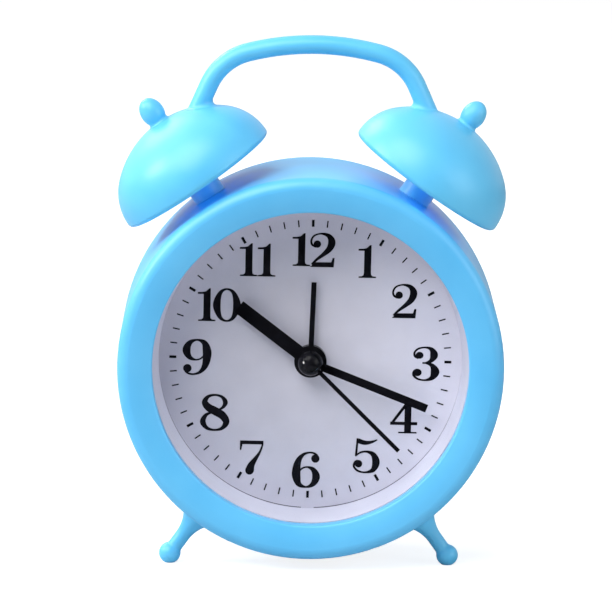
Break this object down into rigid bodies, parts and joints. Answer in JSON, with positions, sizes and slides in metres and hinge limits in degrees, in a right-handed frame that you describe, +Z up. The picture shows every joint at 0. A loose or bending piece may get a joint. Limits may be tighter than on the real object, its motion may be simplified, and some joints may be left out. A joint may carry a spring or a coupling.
{
  "type": "alarm clock",
  "caption": "Round quartz alarm clock in a plastic drum case with a clear lens, two dome bells, a bow handle, ball-ended feet and a geared movement.",
  "frame": {"origin": "middle of the clock's box on the plane it stands on", "axes": "+Z up, the dial faces -Y, +X to the right seen from the front"},
  "size_m": [0.105, 0.0454, 0.1433],
  "materials": {
    "blue_plastic": "moulded, satin gloss",
    "white_plastic": "moulded, satin",
    "dial_white": "printed card, matt",
    "clear_lens": "clear, polished",
    "hand_black": "satin black",
    "movement_black": "moulded, matt",
    "gear_nylon": "moulded nylon",
    "bright_steel": "plated",
    "spring_brass": "rolled strip",
    "copper_wire": "enamelled wire",
    "magnet": "sintered",
    "board": "laminate",
    "cell_sleeve": "plain printed sleeve"
  },
  "bodies": {
    "case": {"front_case": "blue_plastic", "rear_cover": "blue_plastic", "lens": "clear_lens", "sight_ring": "white_plastic", "dial": "dial_white", "bell_left": "blue_plastic", "bell_right": "blue_plastic", "bell_knob_left": "blue_plastic", "bell_knob_right": "blue_plastic", "handle": "blue_plastic", "foot_left": "blue_plastic", "foot_right": "blue_plastic", "movement_base": "movement_black", "movement_cover": "movement_black", "stator": "bright_steel", "coil_core": "bright_steel", "coil_bobbin": "gear_nylon", "coil_winding": "copper_wire", "circuit_board": "board", "quartz_crystal": "bright_steel", "buzzer": "movement_black", "alarm_contact_spring": "spring_brass", "battery_cell": "cell_sleeve", "contact_plus": "bright_steel", "contact_minus": "bright_steel", "case_screws": "bright_steel", "bell_screws": "bright_steel"},
    "time_setting": {"motion_wheel": "gear_nylon", "time_knob": "blue_plastic"},
    "minute_arbor": {"minute_hand": "hand_black", "cannon_pinion": "gear_nylon"},
    "hour_arbor": {"hour_hand": "hand_black", "hour_wheel": "gear_nylon"},
    "alarm_setting": {"alarm_setting_gear": "gear_nylon", "alarm_knob": "blue_plastic"},
    "alarm_arbor": {"alarm_hand": "hand_black", "alarm_wheel": "gear_nylon"},
    "second_arbor": {"second_hand": "hand_black", "second_wheel": "gear_nylon"},
    "third_arbor": {"third_wheel": "gear_nylon"},
    "centre_arbor": {"centre_wheel": "gear_nylon"},
    "intermediate_arbor": {"intermediate_wheel": "gear_nylon"},
    "rotor_arbor": {"rotor": "magnet"},
    "battery_door": {"battery_door": "blue_plastic"},
    "alarm_switch": {"alarm_switch": "white_plastic"}
  },
  "joints": [
    {"name": "time_knob_turn", "type": "hinge", "parent": "case", "child": "time_setting", "pos_m": [0.00985, 0, 0.05356], "axis": [0, 1, 0], "continuous": true},
    {"name": "minute_hand_turn", "type": "hinge", "parent": "case", "child": "minute_arbor", "pos_m": [0, 0, 0.0553], "axis": [0, 1, 0], "continuous": true},
    {"name": "hour_hand_turn", "type": "hinge", "parent": "case", "child": "hour_arbor", "pos_m": [0, 0, 0.0553], "axis": [0, 1, 0], "continuous": true},
    {"name": "alarm_knob_turn", "type": "hinge", "parent": "case", "child": "alarm_setting", "pos_m": [-0.01159, 0, 0.05219], "axis": [0, 1, 0], "continuous": true},
    {"name": "alarm_hand_turn", "type": "hinge", "parent": "case", "child": "alarm_arbor", "pos_m": [0, 0, 0.0553], "axis": [0, 1, 0], "continuous": true},
    {"name": "second_hand_turn", "type": "hinge", "parent": "case", "child": "second_arbor", "pos_m": [0, 0, 0.0553], "axis": [0, 1, 0], "continuous": true},
    {"name": "third_wheel_turn", "type": "hinge", "parent": "case", "child": "third_arbor", "pos_m": [0.00233, 0, 0.06399], "axis": [0, 1, 0], "continuous": true},
    {"name": "centre_wheel_turn", "type": "hinge", "parent": "case", "child": "centre_arbor", "pos_m": [0, 0, 0.0553], "axis": [0, 1, 0], "continuous": true},
    {"name": "intermediate_wheel_turn", "type": "hinge", "parent": "case", "child": "intermediate_arbor", "pos_m": [-0.00728, 0, 0.0595], "axis": [0, 1, 0], "continuous": true},
    {"name": "rotor_turn", "type": "hinge", "parent": "case", "child": "rotor_arbor", "pos_m": [-0.0129, 0, 0.06422], "axis": [0, 1, 0], "continuous": true},
    {"name": "battery_door_lift", "type": "slide", "parent": "case", "child": "battery_door", "axis": [0, 1, 0], "range_m": [0, 0.03]},
    {"name": "alarm_switch_slide", "type": "slide", "parent": "case", "child": "alarm_switch", "axis": [1, 0, 0], "range_m": [0, 0.004]}
  ],
  "couplings": [
    {"joint": "minute_hand_turn", "follows": "time_knob_turn", "ratio": -3},
    {"joint": "hour_hand_turn", "follows": "time_knob_turn", "ratio": -0.25},
    {"joint": "alarm_hand_turn", "follows": "alarm_knob_turn", "ratio": -0.5},
    {"joint": "third_wheel_turn", "follows": "second_hand_turn", "ratio": -0.13333},
    {"joint": "centre_wheel_turn", "follows": "second_hand_turn", "ratio": 0.016667},
    {"joint": "intermediate_wheel_turn", "follows": "second_hand_turn", "ratio": -5},
    {"joint": "rotor_turn", "follows": "second_hand_turn", "ratio": 30}
  ]
}
